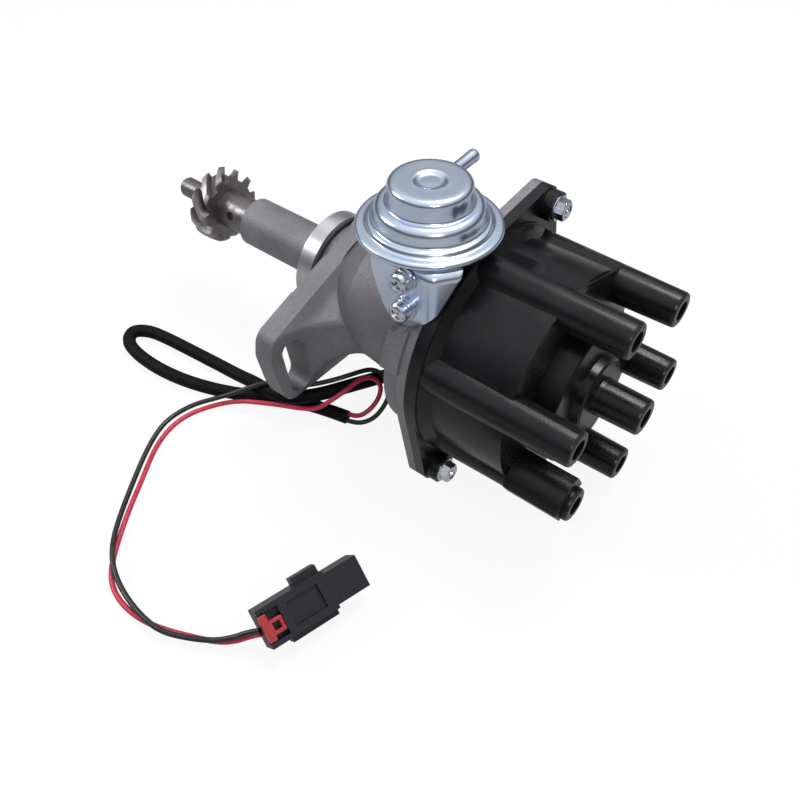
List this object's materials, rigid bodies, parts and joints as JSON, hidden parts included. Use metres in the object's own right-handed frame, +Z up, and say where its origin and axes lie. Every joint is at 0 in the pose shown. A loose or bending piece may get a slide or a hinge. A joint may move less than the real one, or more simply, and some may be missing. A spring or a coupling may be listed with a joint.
{
  "type": "ignition distributor",
  "caption": "Horizontal engine ignition distributor with cast body and clamp arm, helical gear on its shaft, black cap with plug towers, vacuum canister and a cable with connector.",
  "frame": {"origin": "under the middle of the distributor without its cable, on the surface it lies on", "axes": "+X along the shaft towards the cap's towers, +Y away from the clamp arm's tip, +Z up through the vacuum canister"},
  "size_m": [0.269, 0.222, 0.1343],
  "materials": {
    "cast_aluminium": "as cast, fine grain",
    "seal_rubber": "matt",
    "bronze_bush": "sintered",
    "dark_steel": "oiled",
    "plain_steel": "ground",
    "zinc_steel": "bright zinc plated",
    "cap_plastic": "moulded, satin to gloss",
    "rotor_plastic": "moulded",
    "brass": "plain",
    "carbon": "matt",
    "spring_steel": "plain",
    "coil_plastic": "moulded",
    "cable_sleeve_vinyl": "soft vinyl",
    "wire_red_vinyl": "soft vinyl",
    "wire_black_vinyl": "soft vinyl",
    "connector_plastic": "moulded",
    "lock_plastic": "moulded"
  },
  "bodies": {
    "body": {"housing": "cast_aluminium", "o_ring": "seal_rubber", "lower_bushing": "bronze_bush", "upper_bushing": "bronze_bush", "bearing_ring": "plain_steel", "cap": "cap_plastic", "cap_gasket": "seal_rubber", "terminal_inserts": "brass", "center_terminal": "brass", "brush_spring": "spring_steel", "cap_screws": "zinc_steel", "canister_cover": "zinc_steel", "canister_base": "zinc_steel", "diaphragm": "seal_rubber", "canister_spring": "spring_steel", "hose_nipple": "zinc_steel", "bracket": "zinc_steel", "bracket_screws": "zinc_steel", "cable_grommet": "seal_rubber", "cable_sleeve": "cable_sleeve_vinyl", "wire_red": "wire_red_vinyl", "wire_black": "wire_black_vinyl", "connector_socket": "connector_plastic", "connector_plug": "connector_plastic", "connector_lock": "lock_plastic"},
    "shaft": {"drive_shaft": "plain_steel", "drive_gear": "dark_steel", "gear_pin": "dark_steel", "advance_plate": "plain_steel", "thrust_washer": "plain_steel", "advance_spring_a": "spring_steel", "advance_spring_b": "spring_steel"},
    "weight_a": {"flyweight_a": "plain_steel"},
    "weight_b": {"flyweight_b": "plain_steel"},
    "rotor": {"cam_sleeve": "plain_steel", "reluctor": "plain_steel", "rotor_arm": "rotor_plastic", "rotor_contact": "brass"},
    "pickup": {"pickup_plate": "zinc_steel", "pickup_coil": "coil_plastic", "pickup_pole": "plain_steel"},
    "vacuum_link": {"pull_rod": "zinc_steel"},
    "brush": {"carbon_brush": "carbon"}
  },
  "joints": [
    {"name": "shaft_spin", "type": "hinge", "parent": "body", "child": "shaft", "pos_m": [-0.03125, 0.0049, 0.05709], "axis": [1, 0, 0], "continuous": true},
    {"name": "advance", "type": "hinge", "parent": "shaft", "child": "rotor", "pos_m": [0.03675, 0.0049, 0.05709], "axis": [1, 0, 0], "range_deg": [0, 10], "stiffness_Nm_per_rad": 0.05, "deforming": ["advance_spring_a", "advance_spring_b"]},
    {"name": "weight_a_pivot", "type": "hinge", "parent": "shaft", "child": "weight_a", "pos_m": [0.01775, 0.0219, 0.05709], "axis": [1, 0, 0], "range_deg": [-13, 0]},
    {"name": "weight_b_pivot", "type": "hinge", "parent": "shaft", "child": "weight_b", "pos_m": [0.01775, -0.0121, 0.05709], "axis": [1, 0, 0], "range_deg": [-13, 0]},
    {"name": "pickup_swivel", "type": "hinge", "parent": "body", "child": "pickup", "pos_m": [0.04405, 0.0049, 0.05709], "axis": [1, 0, 0], "range_deg": [-10, 0], "stiffness_Nm_per_rad": 0.5},
    {"name": "vacuum_pull", "type": "slide", "parent": "body", "child": "vacuum_link", "axis": [0, 0, 1], "range_m": [0, 0.0029], "deforming": ["diaphragm", "canister_spring"]},
    {"name": "brush_slide", "type": "slide", "parent": "body", "child": "brush", "axis": [1, 0, 0], "range_m": [0, 0.002], "stiffness_N_per_m": 150, "deforming": ["brush_spring"]}
  ],
  "couplings": [
    {"joint": "weight_a_pivot", "follows": "advance", "ratio": -1.2667},
    {"joint": "weight_b_pivot", "follows": "advance", "ratio": -1.2667},
    {"joint": "vacuum_pull", "follows": "pickup_swivel", "m_per_rad": -0.0158}
  ]
}
